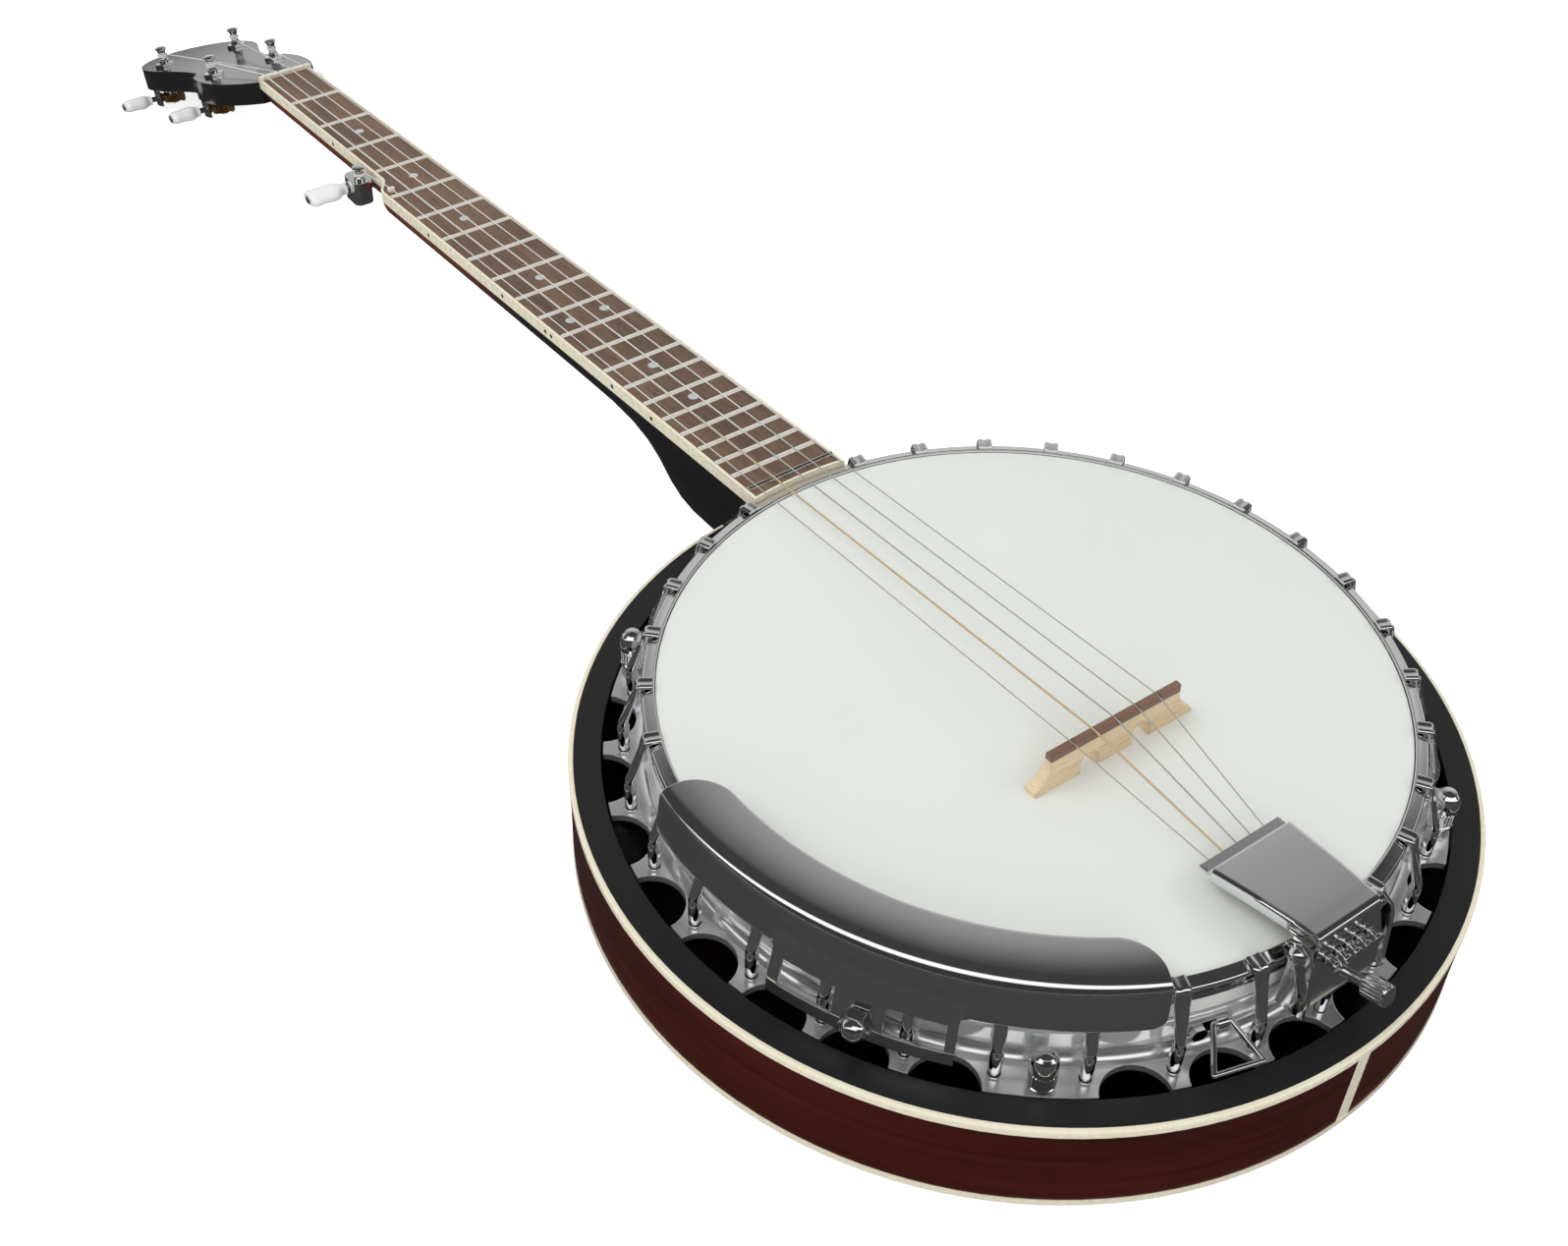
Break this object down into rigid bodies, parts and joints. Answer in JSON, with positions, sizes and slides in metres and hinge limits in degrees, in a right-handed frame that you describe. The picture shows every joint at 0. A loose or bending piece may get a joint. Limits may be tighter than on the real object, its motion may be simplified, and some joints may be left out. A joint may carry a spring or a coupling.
{
  "type": "five string banjo",
  "caption": "Resonator banjo with a tensioned drumhead on a hooked metal pot, a bound wooden neck, geared tuners, an armrest and an adjustable tailpiece.",
  "frame": {"origin": "centre of the resonator back's flat outer face", "axes": "+Z out of the playing face, +Y along the neck towards the peghead, +X towards the first (thin) string side"},
  "size_m": [0.3418, 0.9609, 0.1101],
  "materials": {
    "chrome_hardware": "polished",
    "nickel_steel": "satin",
    "cast_flange": "cast, polished",
    "head_film": "frosted coating",
    "maple": "satin",
    "bridge_cap_wood": "satin",
    "fretboard_wood": "open grain, oiled",
    "neck_wood": "gloss lacquer",
    "side_wood": "gloss lacquer",
    "back_wood": "gloss lacquer",
    "black_rim": "satin black lacquer",
    "cream_binding": "polished",
    "dot_pearl": "pearl",
    "dot_black": "polished",
    "bone_white": "satin",
    "button_pearl": "pearl",
    "brass_worm": "machined",
    "string_steel": "drawn wire",
    "cover_black": "satin"
  },
  "bodies": {
    "root": {"armrest": "chrome_hardware", "armrest_clamp": "chrome_hardware", "armrest_nut": "chrome_hardware", "bracket_hooks": "chrome_hardware", "bracket_nuts": "chrome_hardware", "bridge_base": "maple", "bridge_top": "bridge_cap_wood", "coordinator_rods": "nickel_steel", "fifth_string_pip": "bone_white", "fifth_tuner_housing": "chrome_hardware", "flesh_hoop": "nickel_steel", "fretboard": "fretboard_wood", "fretboard_binding": "cream_binding", "frets": "nickel_steel", "head": "head_film", "inlay_dots": "dot_pearl", "neck": "neck_wood", "nut": "bone_white", "resonator_back": "back_wood", "resonator_binding": "cream_binding", "resonator_lugs": "nickel_steel", "resonator_rim": "black_rim", "resonator_wall": "side_wood", "rim_flange": "cast_flange", "rod_bolts": "nickel_steel", "side_dots": "dot_black", "strap_clip": "chrome_hardware", "strap_screw": "chrome_hardware", "strings": "string_steel", "tailpiece_bolt": "chrome_hardware", "tailpiece_bracket": "chrome_hardware", "tailpiece_pivots": "chrome_hardware", "tension_hoop": "chrome_hardware", "truss_rod": "nickel_steel", "truss_rod_cover": "cover_black", "tuner_ferrules": "chrome_hardware", "tuner_plates": "chrome_hardware"},
    "tuner_knob_1": {"tuner_worm_1": "brass_worm", "tuner_button_1": "button_pearl"},
    "tuner_shaft_1": {"tuner_post_1": "chrome_hardware"},
    "tuner_knob_2": {"tuner_worm_2": "brass_worm", "tuner_button_2": "button_pearl"},
    "tuner_shaft_2": {"tuner_post_2": "chrome_hardware"},
    "tuner_knob_3": {"tuner_worm_3": "brass_worm", "tuner_button_3": "button_pearl"},
    "tuner_shaft_3": {"tuner_post_3": "chrome_hardware"},
    "tuner_knob_4": {"tuner_worm_4": "brass_worm", "tuner_button_4": "button_pearl"},
    "tuner_shaft_4": {"tuner_post_4": "chrome_hardware"},
    "fifth_knob": {"fifth_tuner_worm": "chrome_hardware", "fifth_tuner_button": "button_pearl"},
    "fifth_shaft": {"fifth_tuner_post": "chrome_hardware"},
    "tailpiece": {"tailpiece_cover": "chrome_hardware", "tailpiece_posts": "chrome_hardware"},
    "tailpiece_thumbscrew": {"tailpiece_screw": "chrome_hardware"},
    "strap_loop": {"strap_ring": "chrome_hardware"},
    "back_screw_1": {"resonator_screw_1": "chrome_hardware"},
    "back_screw_2": {"resonator_screw_2": "chrome_hardware"},
    "back_screw_3": {"resonator_screw_3": "chrome_hardware"},
    "back_screw_4": {"resonator_screw_4": "chrome_hardware"}
  },
  "joints": [
    {"name": "tuner_knob_1_turn", "type": "hinge", "parent": "root", "child": "tuner_knob_1", "pos_m": [0.0202, 0.68671, 0.00777], "axis": [1, 0, 0], "continuous": true},
    {"name": "tuner_post_1_turn", "type": "hinge", "parent": "root", "child": "tuner_shaft_1", "pos_m": [0.0202, 0.68363, 0.02847], "axis": [0, 0.3024, 0.9532], "continuous": true},
    {"name": "tuner_knob_2_turn", "type": "hinge", "parent": "root", "child": "tuner_knob_2", "pos_m": [0.0245, 0.75534, -0.014], "axis": [1, 0, 0], "continuous": true},
    {"name": "tuner_post_2_turn", "type": "hinge", "parent": "root", "child": "tuner_shaft_2", "pos_m": [0.0245, 0.75226, 0.0067], "axis": [0, 0.3024, 0.9532], "continuous": true},
    {"name": "tuner_knob_3_turn", "type": "hinge", "parent": "root", "child": "tuner_knob_3", "pos_m": [-0.0221, 0.75534, -0.014], "axis": [1, 0, 0], "continuous": true},
    {"name": "tuner_post_3_turn", "type": "hinge", "parent": "root", "child": "tuner_shaft_3", "pos_m": [-0.0221, 0.75226, 0.0067], "axis": [0, 0.3024, 0.9532], "continuous": true},
    {"name": "tuner_knob_4_turn", "type": "hinge", "parent": "root", "child": "tuner_knob_4", "pos_m": [-0.0178, 0.68671, 0.00777], "axis": [1, 0, 0], "continuous": true},
    {"name": "tuner_post_4_turn", "type": "hinge", "parent": "root", "child": "tuner_shaft_4", "pos_m": [-0.0178, 0.68363, 0.02847], "axis": [0, 0.3024, 0.9532], "continuous": true},
    {"name": "fifth_knob_turn", "type": "hinge", "parent": "root", "child": "fifth_knob", "pos_m": [-0.0206, 0.498, 0.047], "axis": [1, 0, 0], "continuous": true},
    {"name": "fifth_post_turn", "type": "hinge", "parent": "root", "child": "fifth_shaft", "pos_m": [-0.0206, 0.492, 0.047], "axis": [0, 0, 1], "continuous": true},
    {"name": "tailpiece_tilt", "type": "hinge", "parent": "root", "child": "tailpiece", "pos_m": [0, -0.1472, 0.0816], "axis": [1, 0, 0], "range_deg": [0, 3]},
    {"name": "tailpiece_screw_turn", "type": "hinge", "parent": "tailpiece", "child": "tailpiece_thumbscrew", "pos_m": [0, -0.1529, 0.0659], "axis": [0, -0.9578, 0.2874], "range_deg": [0, 403]},
    {"name": "strap_loop_swing", "type": "hinge", "parent": "root", "child": "strap_loop", "pos_m": [-0.04142, -0.13896, 0.054], "axis": [-0.9583, 0.2857, 0], "range_deg": [0, 80]},
    {"name": "back_screw_1_turn", "type": "hinge", "parent": "root", "child": "back_screw_1", "pos_m": [0.09744, 0.11873, 0.045], "axis": [0, 0, 1], "continuous": true},
    {"name": "back_screw_2_turn", "type": "hinge", "parent": "root", "child": "back_screw_2", "pos_m": [0.09744, -0.11873, 0.045], "axis": [0, 0, 1], "continuous": true},
    {"name": "back_screw_3_turn", "type": "hinge", "parent": "root", "child": "back_screw_3", "pos_m": [-0.09744, -0.11873, 0.045], "axis": [0, 0, 1], "continuous": true},
    {"name": "back_screw_4_turn", "type": "hinge", "parent": "root", "child": "back_screw_4", "pos_m": [-0.09744, 0.11873, 0.045], "axis": [0, 0, 1], "continuous": true}
  ],
  "couplings": [
    {"joint": "tuner_knob_1_turn", "follows": "tuner_post_1_turn", "ratio": 15},
    {"joint": "tuner_knob_2_turn", "follows": "tuner_post_2_turn", "ratio": 15},
    {"joint": "tuner_knob_3_turn", "follows": "tuner_post_3_turn", "ratio": 15},
    {"joint": "tuner_knob_4_turn", "follows": "tuner_post_4_turn", "ratio": 15},
    {"joint": "fifth_knob_turn", "follows": "fifth_post_turn", "ratio": 12},
    {"joint": "tailpiece_screw_turn", "follows": "tailpiece_tilt", "ratio": 134}
  ]
}
